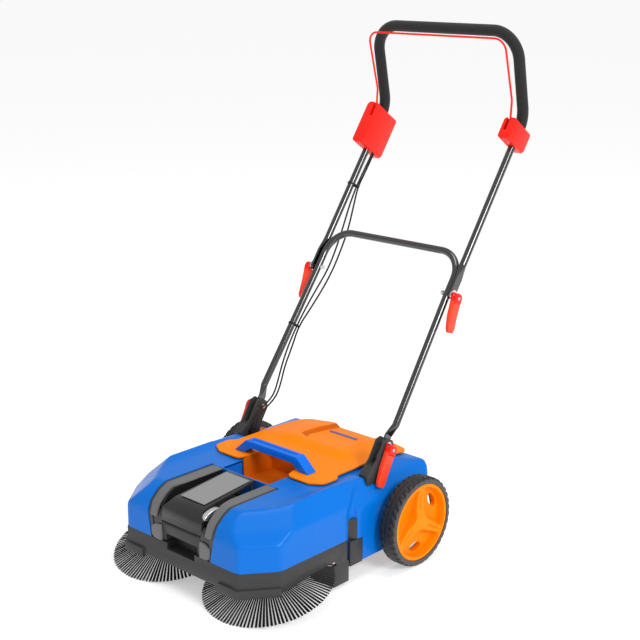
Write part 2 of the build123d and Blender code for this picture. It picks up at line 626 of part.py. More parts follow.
def switch_box_pair():
    left = handle_block(178, 210, BOX_S[0], BOX_S[1], -40, 42, 9)
    hollow = handle_block(181, 207, BOX_S[0] + 3, BOX_S[0] + 62, -37, 39, 6)
    left = left - hollow - leg_slot - pin_bore
    left += rod(UPPER_X, BOX_S[0], 0, TUBE_R + 2, 70, "Y")
    left -= tube_bore
    left = mirrored(left)
    inner_half = left & block(-UPPER_X + 0.05, -170, 600, 800, -60, 90)
    outer_half = left & block(-220, -UPPER_X - 0.05, 600, 800, -60, 90)
    return inner_half, outer_half


inner_half, outer_half = switch_box_pair()
cable_holes = rod(-185.5, BOX_S[0] - 5, -14, 2.4, 10, "Y") + rod(-185.5, BOX_S[0] - 5, -19, 2.4, 10, "Y")
button_hole = rod(-212, BOX_S[0] + 40, 22, 6.1, 12, "X")
parts["switch_box"] = on_handle(inner_half - cable_holes)
parts["switch_box_cover"] = on_handle(outer_half - button_hole)
button = rod(-213, BOX_S[0] + 40, 22, 6.0, 9, "X") + rod(-206.2, BOX_S[0] + 40, 22, 8, 2.2, "X")
parts["lock_button"] = on_handle(button)
parts["micro_switch"] = on_handle(block(-201, -188, BOX_S[0] + 8, BOX_S[0] + 28, 14, 30))
pivot_block = handle_block(178, 210, 700, 750, -25, 42, 8) - tube_bore - leg_slot - pin_bore
parts["bail_pivot_block"] = on_handle(pivot_block)

bail_route = [(BAIL_X, BAIL_S, BAIL_N), (BAIL_X, 783, 55), (BAIL_X, *BAIL_TIP), (-BAIL_X, *BAIL_TIP),
              (-BAIL_X, 783, 55), (-BAIL_X, BAIL_S, BAIL_N)]
bail = pipe(bail_route, 26, BAIL_R) + both(rod(BAIL_X - 3, BAIL_S, BAIL_N, BAIL_R, 13, "X"))
parts["bail"] = on_handle(bail)


# ---- fasteners and cables ----
case_screws = None
for x, y in [(x, y) for x in (-FOOT_X, FOOT_X) for y in (-62, -34)]:
    screw = rod(x, y, 178, 2.5, 20) + hexagon(x, y, 175, 8, 4)
    case_screws = screw if case_screws is None else case_screws + screw
parts["case_screws"] = case_screws
for side in SIGNS:
    parts["handle_bracket_" + side] -= parts["case_screws"]


def cable(points):
    """Round cable along its route, each corner an arc as wide as its straights allow."""
    corners = [Vector(*p) for p in points]
    radii = []
    for a, b, c in zip(corners, corners[1:], corners[2:]):
        half_turn = math.radians((b - a).get_angle(c - b)) / 2
        radii.append(0.45 * min((b - a).length, (c - b).length) / math.tan(half_turn))
    path = FilletPolyline(*points, radius=radii)
    print("cable radii", [round(r, 1) for r in radii], "length", round(path.length, 1))
    tube = sweep(Plane(path @ 0, z_dir=path % 0) * Circle(CABLE_R), path=path)
    assert abs(tube.volume / (math.pi * CABLE_R ** 2 * path.length) - 1) < 0.01
    return tube


# Two cables run from the switch box down the inner side of the right leg to the grommet.
SWITCH_CABLES = [
    [(-185.5, 651, -14), (-184, 600, -10), (-183.6, 560, -8), (-181, 510, -9), (-178, 455, -16),
     (-173, 400, -18), (-170, 350, -17), (-172, 300, -11), (-176.5, 250, -8), (-178.7, 200, -6.5),
     (-180, 150, -8), (-178, 105, -12), (-171, 65, -14), (-164.5, 33, -12), (-162, 4, 3),
     (-163, -16, 15), (-163.8, -37, 17), (-163.2, -57, 8)],
    [(-185.5, 651, -19), (-182.5, 600, -15), (-183.4, 560, -13), (-173, 510, -15), (-166, 455, -22),
     (-163, 400, -24), (-160, 350, -22), (-158, 300, -14), (-166, 250, -12), (-177.5, 200, -11.5),
     (-174, 150, -15), (-174, 105, -18), (-165, 65, -19), (-159, 33, -16), (-157.5, 4, -2),
     (-158, -16, 10), (-158.6, -36, 13), (-158, -55, 6)],
]


def cables(routes):
    whole = None
    for route in routes:
        tube = cable(route)
        whole = tube if whole is None else whole + tube
    return on_handle(whole)


def tie(x, s, cables_at):
    """Strap round the tube and the cables beside it."""
    ring = Circle(TUBE_R + 1.3)
    hole = Circle(TUBE_R + 0.02)
    for across, behind in cables_at:
        ring += Pos(across, behind) * Circle(CABLE_R + 1.6)
        hole += Pos(across, behind) * Circle(CABLE_R + 0.5)
    strap = extrude(make_hull(ring.edges()), amount=4) - extrude(make_hull(hole.edges()), amount=4)
    return Plane((x, s - 2, 0), x_dir=(1, 0, 0), z_dir=(0, 1, 0)) * strap


parts["switch_cables"] = cables(SWITCH_CABLES)
parts["upper_cable_tie"] = on_handle(tie(-UPPER_X, 560, [(10.4, 8), (10.6, 13)]))
parts["lower_cable_tie"] = on_handle(tie(-188.4, 200, [(9.7, 6.5), (10.9, 11.5)]))
parts["upper_cable_tie"] -= parts["switch_cables"]
parts["lower_cable_tie"] -= parts["switch_cables"]
parts["lower_cable_tie"] -= parts["lower_handle"]
grommet = rod(-161, -52.5, 180, 6.9, 20) + rod(-161, -52.5, 199.5, 9, 11)
parts["hood_shell"] -= rod(-161, -52.5, 150, 7, 80)
parts["cable_grommet"] = grommet - parts["hood_shell"] - parts["switch_cables"]

for name, shape in parts.items():
    print(name, len(shape.solids()), round(shape.volume))

os.makedirs("parts", exist_ok=True)
for name, shape in parts.items():
    export_step(shape, "parts/" + name + ".step")
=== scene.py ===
"""Looks of a walk-behind battery sweeper, built round its CAD frame. Metres, +Z up, driving towards -Y."""
import json
import math
import random

import bmesh
import bpy
from mathutils import Matrix, Vector


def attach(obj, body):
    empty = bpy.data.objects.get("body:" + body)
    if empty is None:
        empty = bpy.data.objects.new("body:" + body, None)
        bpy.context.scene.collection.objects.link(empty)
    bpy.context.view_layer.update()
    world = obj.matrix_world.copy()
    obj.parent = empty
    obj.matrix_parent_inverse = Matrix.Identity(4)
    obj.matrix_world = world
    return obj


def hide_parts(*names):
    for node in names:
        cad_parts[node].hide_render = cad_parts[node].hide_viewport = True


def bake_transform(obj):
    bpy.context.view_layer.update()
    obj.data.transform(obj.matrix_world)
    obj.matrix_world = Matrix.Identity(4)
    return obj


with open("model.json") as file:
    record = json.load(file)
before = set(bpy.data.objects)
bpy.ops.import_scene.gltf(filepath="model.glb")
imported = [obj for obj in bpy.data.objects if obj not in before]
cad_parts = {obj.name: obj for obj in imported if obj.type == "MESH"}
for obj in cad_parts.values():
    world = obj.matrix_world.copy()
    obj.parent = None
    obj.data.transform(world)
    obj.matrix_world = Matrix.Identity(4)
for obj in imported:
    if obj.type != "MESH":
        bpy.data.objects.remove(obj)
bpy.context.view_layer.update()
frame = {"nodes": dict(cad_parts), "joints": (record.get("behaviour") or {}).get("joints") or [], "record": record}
JOINTS = {j["name"]: j for j in frame["joints"]}
BODY_OF = {n: b for b, ns in frame["record"]["behaviour"]["bodies"].items() for n in ns}
SLOT_OF = {s["node"]: s["material_slot"] for s in frame["record"]["subparts"]}
MM = 0.001
SIGNS = {"left": 1, "right": -1}

# ---- places taken from the frame ----
LEAN = math.radians(34.8)  # of the handle, from upright
FOLD = Vector(JOINTS["lower_handle_fold"]["pos_m"])
HANDLE = Matrix.Translation(FOLD) @ Matrix.Rotation(math.pi / 2 - LEAN, 4, "X")
BRUSH_TILT = math.radians(13.5)
AXLE = Vector(JOINTS["wheel_left"]["pos_m"])

# ---- camera, light and floor ----
LENS = 73.2
CAMERA_PLACE = (1.7892, -1.9571, 1.2193)
CAMERA_TURN = math.radians(42.608)
CAMERA_PITCH = math.radians(74.479)
CAMERA_ROLL = math.radians(0.265)
WHITE = (1.0, 1.0, 1.0, 1)
SOFT_LIGHT = 0.66
FLOOR_GLOW = 0.42
FLOOR_REACH = 40


def camera():
    data = bpy.data.cameras.new("camera")
    data.sensor_width = 36.0
    data.lens = LENS
    data.clip_end = 50
    obj = bpy.data.objects.new("camera", data)
    obj.location = CAMERA_PLACE
    look = Matrix.Rotation(CAMERA_TURN, 4, "Z") @ Matrix.Rotation(CAMERA_PITCH, 4, "X")
    look = look @ Matrix.Rotation(CAMERA_ROLL, 4, "Z")
    obj.rotation_euler = look.to_euler()
    bpy.context.scene.collection.objects.link(obj)
    bpy.context.scene.camera = obj


def area_light(name, place, target, size, power):
    """Square light that faces a target."""
    data = bpy.data.lights.new(name, "AREA")
    data.energy = power
    data.size = size
    obj = bpy.data.objects.new(name, data)
    obj.location = place
    obj.rotation_euler = (Vector(target) - Vector(place)).to_track_quat("-Z", "Y").to_euler()
    bpy.context.scene.collection.objects.link(obj)


def backdrop():
    """Plain white for the camera, and a softer white as light on the object."""
    world = bpy.data.worlds.new("studio")
    world.use_nodes = True
    nodes, links = world.node_tree.nodes, world.node_tree.links
    soft = nodes["Background"]
    plain = nodes.new("ShaderNodeBackground")
    for shader, strength in ((soft, SOFT_LIGHT), (plain, 1.0)):
        shader.inputs["Color"].default_value = WHITE
        shader.inputs["Strength"].default_value = strength
    ray = nodes.new("ShaderNodeLightPath")
    chosen = nodes.new("ShaderNodeMixShader")
    links.new(ray.outputs["Is Camera Ray"], chosen.inputs[0])
    links.new(soft.outputs[0], chosen.inputs[1])
    links.new(plain.outputs[0], chosen.inputs[2])
    links.new(chosen.outputs[0], nodes["World Output"].inputs["Surface"])
    bpy.context.scene.world = world


def ground():
    """White floor that glows a little, so that it runs into the backdrop."""
    mesh = bpy.data.meshes.new("floor")
    corners = [(-1, -1), (1, -1), (1, 1), (-1, 1)]
    mesh.from_pydata([(x * FLOOR_REACH, y * FLOOR_REACH, 0) for x, y in corners], [], [(0, 1, 2, 3)])
    floor = new_object("floor", mesh)
    pale = material("floor_white", (0.8, 0.8, 0.8), 0.9, grain=0.0, shade=0.01, specular=0.0)
    shader = pale.node_tree.nodes["Principled BSDF"]
    shader.inputs["Emission Color"].default_value = WHITE
    shader.inputs["Emission Strength"].default_value = FLOOR_GLOW
    floor.data.materials.append(pale)


def studio():
    """White sweep, lit softly from above with a stronger key from one side."""
    backdrop()
    area_light("key", place=(3.5, -0.76, 2.6), target=(0.05, 0, 0.35), size=1.2, power=88)
    area_light("top", place=(0.3, 0.2, 3.6), target=(0, 0, 0), size=1.6, power=30)
    bpy.context.scene.view_settings.view_transform = "Standard"
    ground()


# ---- materials ----
GLOSS_SPREAD = 0.05
COAT_ROUGHNESS = 0.08
GRAIN_DEPTH = 0.0004


def new_node(nodes, kind, **settings):
    node = nodes.new(kind)
    for key, value in settings.items():
        node.inputs[key.replace("_", " ")].default_value = value
    return node


def material(name, colour, roughness, metallic=0.0, coat=0.0, grain=0.15, grain_size=900, shade=0.06,
             sheen=0.0, specular=0.5):
    """Moulded or painted surface: fine grain in the bump, slow variation of colour and gloss."""
    mat = bpy.data.materials.new(name)
    mat.use_nodes = True
    nodes, links = mat.node_tree.nodes, mat.node_tree.links
    shader = nodes["Principled BSDF"]
    settings = {"Metallic": metallic, "Coat Weight": coat, "Coat Roughness": COAT_ROUGHNESS,
                "Sheen Weight": sheen, "Specular IOR Level": specular}
    for key, value in settings.items():
        shader.inputs[key].default_value = value
    place = nodes.new("ShaderNodeTexCoord")
    slow = new_node(nodes, "ShaderNodeTexNoise", Scale=9.0, Detail=3.0)
    links.new(place.outputs["Object"], slow.inputs["Vector"])
    tint = new_node(nodes, "ShaderNodeMapRange", To_Min=1 - shade, To_Max=1 + shade)
    links.new(slow.outputs["Fac"], tint.inputs["Value"])
    tinted = nodes.new("ShaderNodeVectorMath")
    tinted.operation = "SCALE"
    tinted.inputs[0].default_value = colour
    links.new(tint.outputs["Result"], tinted.inputs["Scale"])
    links.new(tinted.outputs["Vector"], shader.inputs["Base Color"])
    gloss = new_node(nodes, "ShaderNodeMapRange", To_Min=max(0.02, roughness - GLOSS_SPREAD),
                     To_Max=min(1.0, roughness + GLOSS_SPREAD))
    links.new(slow.outputs["Fac"], gloss.inputs["Value"])
    links.new(gloss.outputs["Result"], shader.inputs["Roughness"])
    if grain:
        fine = new_node(nodes, "ShaderNodeTexNoise", Scale=grain_size, Detail=2.0)
        bump = new_node(nodes, "ShaderNodeBump", Strength=grain, Distance=GRAIN_DEPTH)
        links.new(place.outputs["Object"], fine.inputs["Vector"])
        links.new(fine.outputs["Fac"], bump.inputs["Height"])
        links.new(bump.outputs["Normal"], shader.inputs["Normal"])
    return mat


PAINTS = {
    "hood_blue": dict(colour=(0.0, 0.150, 0.61), roughness=0.28, grain=0.05, shade=0.03, specular=0.16),
    "handle_blue": dict(colour=(0.0, 0.155, 0.74), roughness=0.34, grain=0.08, shade=0.04, specular=0.2),
    "black_plastic": dict(colour=(0.040, 0.040, 0.041), roughness=0.42, grain=0.25, specular=0.25),
    "grey_plastic": dict(colour=(0.14, 0.14, 0.14), roughness=0.45, grain=0.2, specular=0.3),
    "orange_plastic": dict(colour=(1.0, 0.235, 0.0), roughness=0.42, grain=0.08, shade=0.03, specular=0.08),
    # orange_painted_shade is a darker orange that is painted shade, for one wall of the lid's sunk panel and for
    # the bin in the pocket
    "orange_painted_shade": dict(colour=(0.60, 0.105, 0.0), roughness=0.55, specular=0.08),
    "red_plastic": dict(colour=(0.83, 0.010, 0.002), roughness=0.32, grain=0.05, specular=0.3),
    "red_light": dict(colour=(0.95, 0.055, 0.018), roughness=0.36, grain=0.05, specular=0.3),
    "tube_paint": dict(colour=(0.06, 0.06, 0.062), roughness=0.2, metallic=1.0, coat=1.0, grain=0.02),
    "foam": dict(colour=(0.016, 0.016, 0.017), roughness=0.75, grain=0.5, grain_size=1400, sheen=0.15,
                 specular=0.2),
    "tyre_rubber": dict(colour=(0.014, 0.014, 0.015), roughness=0.5, grain=0.35, grain_size=700,
                        specular=0.4),
    "tyre_wall": dict(colour=(0.055, 0.055, 0.056), roughness=0.5, grain=0.25, grain_size=700,
                      specular=0.4),
    "bristle_nylon": dict(colour=(0.006, 0.006, 0.006), roughness=0.5, grain=0.0, specular=0.2),
    "steel": dict(colour=(0.62, 0.62, 0.64), roughness=0.28, metallic=1.0, grain=0.05),
    "silver_plastic": dict(colour=(0.62, 0.63, 0.65), roughness=0.2, metallic=0.8, grain=0.03),
    "circuit_board": dict(colour=(0.02, 0.2, 0.06), roughness=0.4),
    "cable_jacket": dict(colour=(0.012, 0.012, 0.013), roughness=0.5, grain=0.1, specular=0.2),
    "brass": dict(colour=(0.7, 0.48, 0.2), roughness=0.35, metallic=1.0),
    "nylon_white": dict(colour=(0.75, 0.74, 0.69), roughness=0.45),
    "gloss_black": dict(colour=(0.012, 0.012, 0.013), roughness=0.22, grain=0.04),
    "band_dark": dict(colour=(0.05, 0.05, 0.051), roughness=0.4, specular=0.35),
    "plate_grey": dict(colour=(0.25, 0.25, 0.252), roughness=0.35, grain=0.05, specular=0.4),
    "badge_blue": dict(colour=(0.003, 0.07, 0.32), roughness=0.35, grain=0.04),
}
MATERIALS = {name: material(name, **settings) for name, settings in PAINTS.items()}


# ---- mesh helpers: outlines and sizes in millimetres, angles in degrees ----
MERGE_DISTANCE = 1e-6
FLAT_ANGLE = math.radians(1.0)
CAD_SHARP_ANGLE = 32


def new_object(name, mesh):
    obj = bpy.data.objects.new(name, mesh)
    bpy.context.scene.collection.objects.link(obj)
    return obj


def fix_normals(obj):
    bm = bmesh.new()
    bm.from_mesh(obj.data)
    bmesh.ops.recalc_face_normals(bm, faces=bm.faces)
    bm.to_mesh(obj.data)
    bm.free()


def from_data(name, verts, faces):
    mesh = bpy.data.meshes.new(name)
    mesh.from_pydata([tuple(Vector(v) * MM) for v in verts], [], faces)
    mesh.validate()
    obj = new_object(name, mesh)
    fix_normals(obj)
    return obj


def smooth_shade(obj, angle):
    """Smooth faces, with the edges above an angle left sharp."""
    for polygon in obj.data.polygons:
        polygon.use_smooth = True
    obj.data.set_sharp_from_angle(angle=math.radians(angle))


def applied(obj):
    """Bakes the modifiers of obj into its mesh."""
    bpy.context.view_layer.update()
    graph = bpy.context.evaluated_depsgraph_get()
    mesh = bpy.data.meshes.new_from_object(obj.evaluated_get(graph))
    obj.modifiers.clear()
    obj.data = mesh
    return obj


def boolean(obj, other, operation, keep=False):
    """Cuts, joins or intersects obj with other, which is used up unless it is kept."""
    mod = obj.modifiers.new("cut", "BOOLEAN")
    mod.operation = operation
    mod.solver = "EXACT"
    mod.object = other
    applied(obj)
    if not keep:
        bpy.data.objects.remove(other)
    return obj


def bevel(obj, width, segments, angle):
    mod = obj.modifiers.new("bevel", "BEVEL")
    mod.width = width * MM
    mod.segments = segments
    mod.limit_method = "ANGLE"
    mod.angle_limit = math.radians(angle)
    mod.use_clamp_overlap = True
    return applied(obj)


def prism(points, low, high, axis="Z"):
    """Prism along an axis. Outlines are (x, y) for Z, (y, z) for X, (x, z) for Y."""
    place = {"X": lambda a, b, depth: (depth, a, b),
             "Y": lambda a, b, depth: (a, depth, b),
             "Z": lambda a, b, depth: (a, b, depth)}[axis]
    verts = [place(a, b, depth) for depth in (low, high) for a, b in points]
    n = len(points)
    faces = [tuple(range(n)), tuple(range(n, 2 * n))]
    faces += [(i, (i + 1) % n, n + (i + 1) % n, n + i) for i in range(n)]
    return from_data("prism", verts, faces)


def block(x0, x1, y0, y1, z0, z1):
    return prism([(x0, y0), (x1, y0), (x1, y1), (x0, y1)], z0, z1)


def side_span(sign, inner, outer):
    """Both ends of a span on one side of the middle, the lower one first."""
    return sorted((sign * inner, sign * outer))


def symmetric(points):
    """Half an outline and its mirror image across the middle."""
    return points + [(-a, b) for a, b in reversed(points) if a != 0]


def arc(centre, radii, first, last, steps):
    """Points on part of an ellipse, its angles in degrees."""
    turns = [math.radians(first + (last - first) * k / steps) for k in range(steps + 1)]
    return [(centre[0] + radii[0] * math.cos(a), centre[1] + radii[1] * math.sin(a)) for a in turns]


def ellipse(centre, radii, count):
    return arc(centre, radii, 0, 360, count)[:-1]


def rounded(points, radius, steps=6):
    """Outline with its corners rounded; radius is one value or one per corner."""
    out = []
    n = len(points)
    for i, here in enumerate(points):
        r = radius[i] if isinstance(radius, list) else radius
        p = Vector(here)
        a = Vector(points[i - 1]) - p
        b = Vector(points[(i + 1) % n]) - p
        half = a.angle(b) / 2
        if r <= 0 or abs(half - math.pi / 2) < 0.02:
            out.append(tuple(p))
            continue
        back = min(r / math.tan(half), a.length * 0.48, b.length * 0.48)
        start, end = p + a.normalized() * back, p + b.normalized() * back
        for k in range(steps + 1):
            t = k / steps
            out.append(tuple(start * (1 - t) ** 2 + p * 2 * t * (1 - t) + end * t * t))
    return out


def ease(low, high, value):
    """Smooth step from 0 at low to 1 at high."""
    t = min(1.0, max(0.0, (value - low) / (high - low)))
    return t * t * (3 - 2 * t)


def along(points, value):
    """Height on a broken line of (place, height) points."""
    for (a, low), (b, high) in zip(points, points[1:]):
        if value <= b:
            return low + (high - low) * max(0.0, value - a) / (b - a)
    return points[-1][1]


def full_turn(count):
    return [2 * math.pi * i / count for i in range(count)]


def spun(radius, turn, z):
    return (radius * math.cos(turn), radius * math.sin(turn), z)


def ring_solid(name, rows):
    """Closed solid from equal closed loops of points, each joined to the next and the last to the first."""
    n = len(rows[0])
    verts = [point for row in rows for point in row]
    faces = []
    for i in range(len(rows)):
        a, b = i * n, (i + 1) % len(rows) * n
        faces += [(a + k, b + k, b + (k + 1) % n, a + (k + 1) % n) for k in range(n)]
    return from_data(name, verts, faces)


def lathe(profile, segments):
    """Closed solid from (radius, height) points, round +Z."""
    return ring_solid("lathe", [[spun(r, turn, z) for r, z in profile] for turn in full_turn(segments)])


def heightfield(x_range, y_range, step, top, under):
    """Closed slab between two height functions."""
    nx = round((x_range[1] - x_range[0]) / step)
    ny = round((y_range[1] - y_range[0]) / step)
    verts, faces = [], []
    for surface in (top, under):
        for j in range(ny + 1):
            for i in range(nx + 1):
                x = x_range[0] + (x_range[1] - x_range[0]) * i / nx
                y = y_range[0] + (y_range[1] - y_range[0]) * j / ny
                verts.append((x, y, surface(x, y)))
    row, layer = nx + 1, (nx + 1) * (ny + 1)
    for j in range(ny):
        for i in range(nx):
            a = j * row + i
            faces.append((a, a + 1, a + row + 1, a + row))
            faces.append((layer + a, layer + a + row, layer + a + row + 1, layer + a + 1))
    rim = [i for i in range(nx)] + [j * row + nx for j in range(ny)]
    rim += [ny * row + i for i in range(nx, 0, -1)] + [j * row for j in range(ny, 0, -1)]
    faces += [(a, layer + a, layer + b, b) for a, b in zip(rim, rim[1:] + rim[:1])]
    return from_data("slab", verts, faces)


def rope(name, points, radius):
    """Tube along one smooth spline through the control points, in metres."""
    curve = bpy.data.curves.new(name, "CURVE")
    curve.dimensions = "3D"
    spline = curve.splines.new("NURBS")
    spline.points.add(len(points) - 1)
    for target, point in zip(spline.points, points):
        target.co = (*point, 1)
    spline.order_u = 3
    spline.use_endpoint_u = True
    curve.resolution_u = 8
    curve.bevel_depth = radius
    curve.bevel_resolution = 3
    curve.use_fill_caps = True
    obj = new_object(name, curve)
    bpy.context.view_layer.update()
    mesh = bpy.data.meshes.new_from_object(obj.evaluated_get(bpy.context.evaluated_depsgraph_get()))
    bpy.data.objects.remove(obj)
    return new_object(name, mesh)


def finish_piece(obj, name, paint, nodes, body=None, angle=40):
    """Names a finished piece, paints it, and lets it ride in place of CAD nodes."""
    obj.name = name
    obj.data.materials.clear()
    obj.data.materials.append(MATERIALS[paint])
    for polygon in obj.data.polygons:
        polygon.material_index = 0
    smooth_shade(obj, angle)
    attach(obj, body or BODY_OF[nodes[0]])
    if nodes:
        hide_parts(*nodes)


def softened(node, width, paint=None):
    """Copy of a CAD node with its edges rounded over."""
    obj = new_object(node + "_moulded", frame["nodes"][node].data.copy())
    bm = bmesh.new()
    bm.from_mesh(obj.data)
    bmesh.ops.remove_doubles(bm, verts=bm.verts, dist=MERGE_DISTANCE)
    bmesh.ops.dissolve_limit(bm, angle_limit=FLAT_ANGLE, verts=bm.verts, edges=bm.edges)
    bm.to_mesh(obj.data)
    bm.free()
    bevel(obj, width, 2, 30)
    finish_piece(obj, node + "_moulded", paint or SLOT_OF[node], [node], angle=35)


for node, obj in frame["nodes"].items():
    obj.data.materials.clear()
    obj.data.materials.append(MATERIALS[SLOT_OF[node]])
    smooth_shade(obj, CAD_SHARP_ANGLE)
camera()
studio()


# ---- housing ----
HALF = 213  # half width of the housing
WAIST = 204  # half width at the recess in each flank
NOSE_Y, TAIL_Y = -415, 116
FACET_X, FACET_Y = 162, -350  # where the corner facets leave the nose and the sides
AHEAD, BELOW, ABOVE = -430, -20, 260  # clear of the housing on those sides
WALL = 4.5  # thickness of the moulding
VOXEL = 3.2
SOFTENING_STEPS = 20


def housing_solid(d):
    """Outer form of the housing, or its cavity when d is the wall thickness."""
    half, waist, nose_y, tail_y = HALF - d, WAIST - d, NOSE_Y + d, TAIL_Y - d
    nose = symmetric([(0, nose_y), (FACET_X - d * 0.6, nose_y), (half, FACET_Y + d * 0.5),
                      (half, -156 - d * 0.5), (190 - d, -115), (190 - d, -80), (0, -80)])
    tail = symmetric([(0, -170), (waist, -170), (waist, -129 + d), (half, -129 + d), (half, 98),
                      (198 - d, tail_y), (0, tail_y)])
    ridge = [(nose_y, BELOW), (nose_y, 150), (-407 + d, 172 - d), (-388 + d, 190 - d), (-362, 203 - d),
             (-330, 210 - d), (-190, 210 - d), (-80, 203 - d), (0, 202 - d), (60, 198 - d),
             (tail_y, 188 - d), (tail_y, BELOW)]
    nose_front = symmetric([(0, BELOW), (half, BELOW), (half, 170), (181, 210 - d), (166, 203.5 - d),
                            (150, 201.5 - d), (60, 199.5 - d), (0, 199 - d)])
    tail_front = symmetric([(0, BELOW), (half, BELOW), (half, 155), (190, 189 - d), (150, 200 - d),
                            (0, 202 - d)])
    facet_line = [(d, -30), (d, 150), (22 + d, 171), (75 + d, 214), (900, 214), (900, -30)]
    side = prism(ridge, -300, 300, "X")
    front = prism(nose, -10, ABOVE)
    boolean(front, prism(nose_front, AHEAD, -70, "Y"), "INTERSECT")
    boolean(front, side, "INTERSECT", keep=True)
    for sign in (1, -1):
        turn = Matrix.Rotation(sign * math.atan2(FACET_Y - NOSE_Y, HALF - FACET_X), 4, "Z")
        middle = Vector((sign * (FACET_X + HALF) / 2, (NOSE_Y + FACET_Y) / 2, 0)) * MM
        facet = prism(facet_line, -700, 700, "X")
        facet.data.transform(Matrix.Translation(middle) @ turn)
        boolean(front, facet, "INTERSECT")
        boolean(front, block(*side_span(sign, waist, 240), -156 - d, -60, -30, 165 + d), "DIFFERENCE")
    rear = prism(tail, -10.5, ABOVE)
    boolean(rear, prism(tail_front, -180, 130, "Y"), "INTERSECT")
    boolean(rear, side, "INTERSECT")
    return boolean(front, rear, "UNION")


def moulded_form(depth):
    """Housing form with all its creases softened, as a mould would give."""
    form = housing_solid(depth)
    mod = form.modifiers.new("voxels", "REMESH")
    mod.mode = "VOXEL"
    mod.voxel_size = VOXEL * MM
    mod = form.modifiers.new("soften", "SMOOTH")
    mod.factor = 0.5
    mod.iterations = SOFTENING_STEPS
    return applied(form)


FORM = moulded_form(0)
MOUTH = [(0, 90), (86, 90), (88, 105), (98, 152), (101, ABOVE), (0, ABOVE)]
POCKET_HALF = 67.4


def form_copy(shift=(0, 0, 0)):
    obj = new_object("form", FORM.data.copy())
    obj.data.transform(Matrix.Translation(Vector(shift) * MM))
    return obj


def hood():
    """Blue moulding with its openings, and the tray in front of the bin."""
    shell = form_copy()
    cutters = [moulded_form(WALL),
               block(-220, 220, AHEAD, -156, -30, 98.8),  # open below the bumper line
               block(-225, 225, -157, 130, -30, 40),  # open below the rear pods
               block(-138, 138, -176, 104, 150, ABOVE),  # bin opening
               block(-POCKET_HALF, POCKET_HALF, -235, -170, 120, ABOVE),  # tray
               block(-153, 153, -160, 130, -30, 150),  # hopper bay
               prism(symmetric(MOUTH), AHEAD, -238, "Y"),
               block(-41, 41, AHEAD, -380, 90, 120)]  # front grip
    for sign in (1, -1):
        cutters.append(block(*side_span(sign, 203, 220), -129.2, -112, 36, 91))  # flank inserts
    for cutter in cutters:
        boolean(shell, cutter, "DIFFERENCE")
    finish_piece(shell, "hood", "hood_blue", ["hood_shell"], angle=50)
    tray = block(-70, 70, -237.4, -178.6, 153, 197.5)
    boolean(tray, block(-POCKET_HALF, POCKET_HALF, -235, -177, 156, ABOVE), "DIFFERENCE")
    finish_piece(tray, "hood_tray", "hood_blue", [], body="chassis", angle=35)


# ---- bands on both sides of the battery cover ----
BAND_FOOT_Z = 99.2
BAND_LIGHT_Z = 146  # the light part of a band ends here
BAND_REAR_Y = -238.6
BAND_SKIN = 4
LATCH_GAP = [(60, -340), (64, -340), (71, -372), (72, -425), (60, -425)]


def band_strip(name, paint, outline, sink, low, gap=()):
    """Strip of the bay trim: a skin of the housing form inside an outline, sunk by an amount."""
    for side, sign in SIGNS.items():
        strip = form_copy((0, sink, -sink))
        boolean(strip, prism([(sign * x, z) for x, z in outline], AHEAD, BAND_REAR_Y, "Y"), "INTERSECT")
        boolean(strip, block(-120, 120, AHEAD, -230, low, ABOVE), "INTERSECT")
        boolean(strip, form_copy((0, sink + BAND_SKIN, -sink - BAND_SKIN)), "DIFFERENCE")
        if gap:
            boolean(strip, prism([(sign * x, y) for x, y in gap], BAND_LIGHT_Z, 262), "DIFFERENCE")
        bevel(strip, 0.8, 2, 50)
        finish_piece(strip, "%s_%s" % (name, side), paint, ["bay_trim"], angle=45)


def band_cup(side, sign):
    """Rounded foot of a band at the mouth of the bay."""
    outline = rounded([(56, 99.4), (57, 133), (72, 131), (86, 124), (84, 99.4)], [1, 3, 6, 6, 18])
    cup = prism([(sign * x, z) for x, z in outline], -416, -402, "Y")
    bevel(cup, 4.5, 4, 40)
    finish_piece(cup, "band_cup_" + side, "grey_plastic", ["bay_trim"])


def bay_valley(side, sign):
    """Dark wall and floor of the gap beside the battery cover; the wall dips at the latch."""
    crest = [(-370, 197), (-388, 186), (-404, 168)]
    if side == "left":
        crest = [(-340, 192), (-362, 176), (-392, 160)]
    wall = [(-239.5, 101), (-239.5, 197)] + crest + [(-407, 148), (-407, 101)]
    valley = prism(wall, *side_span(sign, 64.0, 66.5), "X")
    boolean(valley, block(*side_span(sign, 40, 66), -398, -240, 158.2, 161), "UNION")
    finish_piece(valley, "bay_valley_" + side, "gloss_black", ["bay_trim"])
    line = [(-250, 186), (-250, 188.5), (-372, 177), (-384, 170), (-384, 167.5), (-372, 174.5)]
    rail = prism(line, *side_span(sign, 61.8, 64.6), "X")
    finish_piece(rail, "bay_rail_" + side, "black_plastic", ["bay_trim"])


def bay_bands():
    inner = [(64, 90), (64, ABOVE), (90.5, ABOVE), (90.5, 170), (88, 140), (84, 90)]
    outer = [(90.5, ABOVE), (100.4, ABOVE), (97.4, 152), (87.4, 105), (86, BAND_FOOT_Z),
             (78, BAND_FOOT_Z), (84, 140), (90.5, 170)]
    foot = [(57, BAND_FOOT_Z), (57, 160), (92, 160), (84, 140), (78, BAND_FOOT_Z)]
    band_strip("band_inner", "grey_plastic", inner, 0.4, BAND_LIGHT_Z, LATCH_GAP)
    band_strip("band_outer", "band_dark", outer, 1.8, BAND_FOOT_Z)
    band_strip("band_foot", "gloss_black", foot, 3.5, BAND_FOOT_Z)
    for side, sign in SIGNS.items():
        band_cup(side, sign)
        bay_valley(side, sign)


